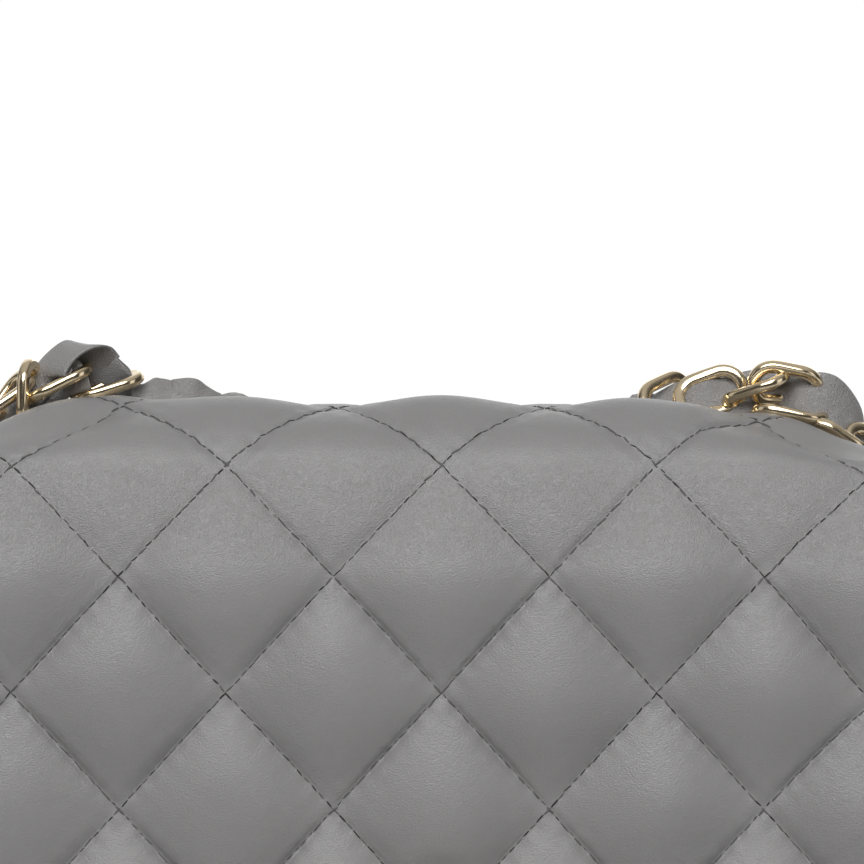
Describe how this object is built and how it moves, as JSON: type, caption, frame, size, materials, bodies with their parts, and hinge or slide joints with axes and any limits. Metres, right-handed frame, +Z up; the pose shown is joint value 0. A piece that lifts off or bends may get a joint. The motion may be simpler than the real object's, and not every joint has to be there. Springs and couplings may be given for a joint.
{
  "type": "chain shoulder bag",
  "caption": "Diamond-quilted leather flap bag with a turn lock, lined compartment and a leather-laced chain shoulder strap.",
  "frame": {"origin": "on the floor under the middle of the bag's box, strap left out", "axes": "+Z up, +X to the right seen from the front, -Y out of the front with the flap"},
  "size_m": [0.218, 0.2112, 0.1554],
  "materials": {
    "quilted_leather": "satin",
    "smooth_leather": "satin",
    "lining": "matte",
    "lace_leather": "satin",
    "board": "matte",
    "zip_tape": "matte",
    "pale_gold": "polished"
  },
  "bodies": {
    "bag_body": {"base_panel": "smooth_leather", "base_board": "board", "lining_base": "lining", "front_panel": "quilted_leather", "lining_front": "lining", "lining_back": "lining", "mouth_binding": "smooth_leather", "gusset_left": "smooth_leather", "lining_left": "lining", "gusset_right": "smooth_leather", "lining_right": "lining", "back_panel": "quilted_leather", "eyelet_left": "pale_gold", "eyelet_washer_left": "pale_gold", "strap_end_ring_left": "pale_gold", "eyelet_right": "pale_gold", "eyelet_washer_right": "pale_gold", "strap_end_ring_right": "pale_gold", "lock_seat": "pale_gold", "lock_seat_backer": "pale_gold", "lock_seat_rivets": "pale_gold", "lock_stem": "pale_gold", "slip_pocket": "lining", "zip_tape": "zip_tape", "zip_teeth": "pale_gold", "zip_stops": "pale_gold", "chain_strap": "lace_leather"},
    "flap": {"flap_shell": "quilted_leather", "flap_lining": "lining", "lock_plate": "pale_gold", "lock_plate_backer": "pale_gold", "lock_plate_rivets": "pale_gold"},
    "lock_bar": {"lock_bar": "pale_gold"},
    "zip_slider": {"zip_slider": "pale_gold"},
    "zip_puller": {"zip_puller": "pale_gold"}
  },
  "joints": [
    {"name": "flap_hinge", "type": "hinge", "parent": "bag_body", "child": "flap", "pos_m": [0, 0.005, 0.14479], "axis": [-1, 0, 0], "range_deg": [0, 95]},
    {"name": "lock_turn", "type": "hinge", "parent": "bag_body", "child": "lock_bar", "pos_m": [0, -0.032, 0.04], "axis": [0, -1, 0], "range_deg": [0, 90]},
    {"name": "zip_slide", "type": "slide", "parent": "bag_body", "child": "zip_slider", "axis": [1, 0, 0], "range_m": [0, 0.1]},
    {"name": "zip_puller_swing", "type": "hinge", "parent": "zip_slider", "child": "zip_puller", "pos_m": [-0.05, 0.0244, 0.084], "axis": [0, 0, 1], "range_deg": [0, 150]}
  ]
}
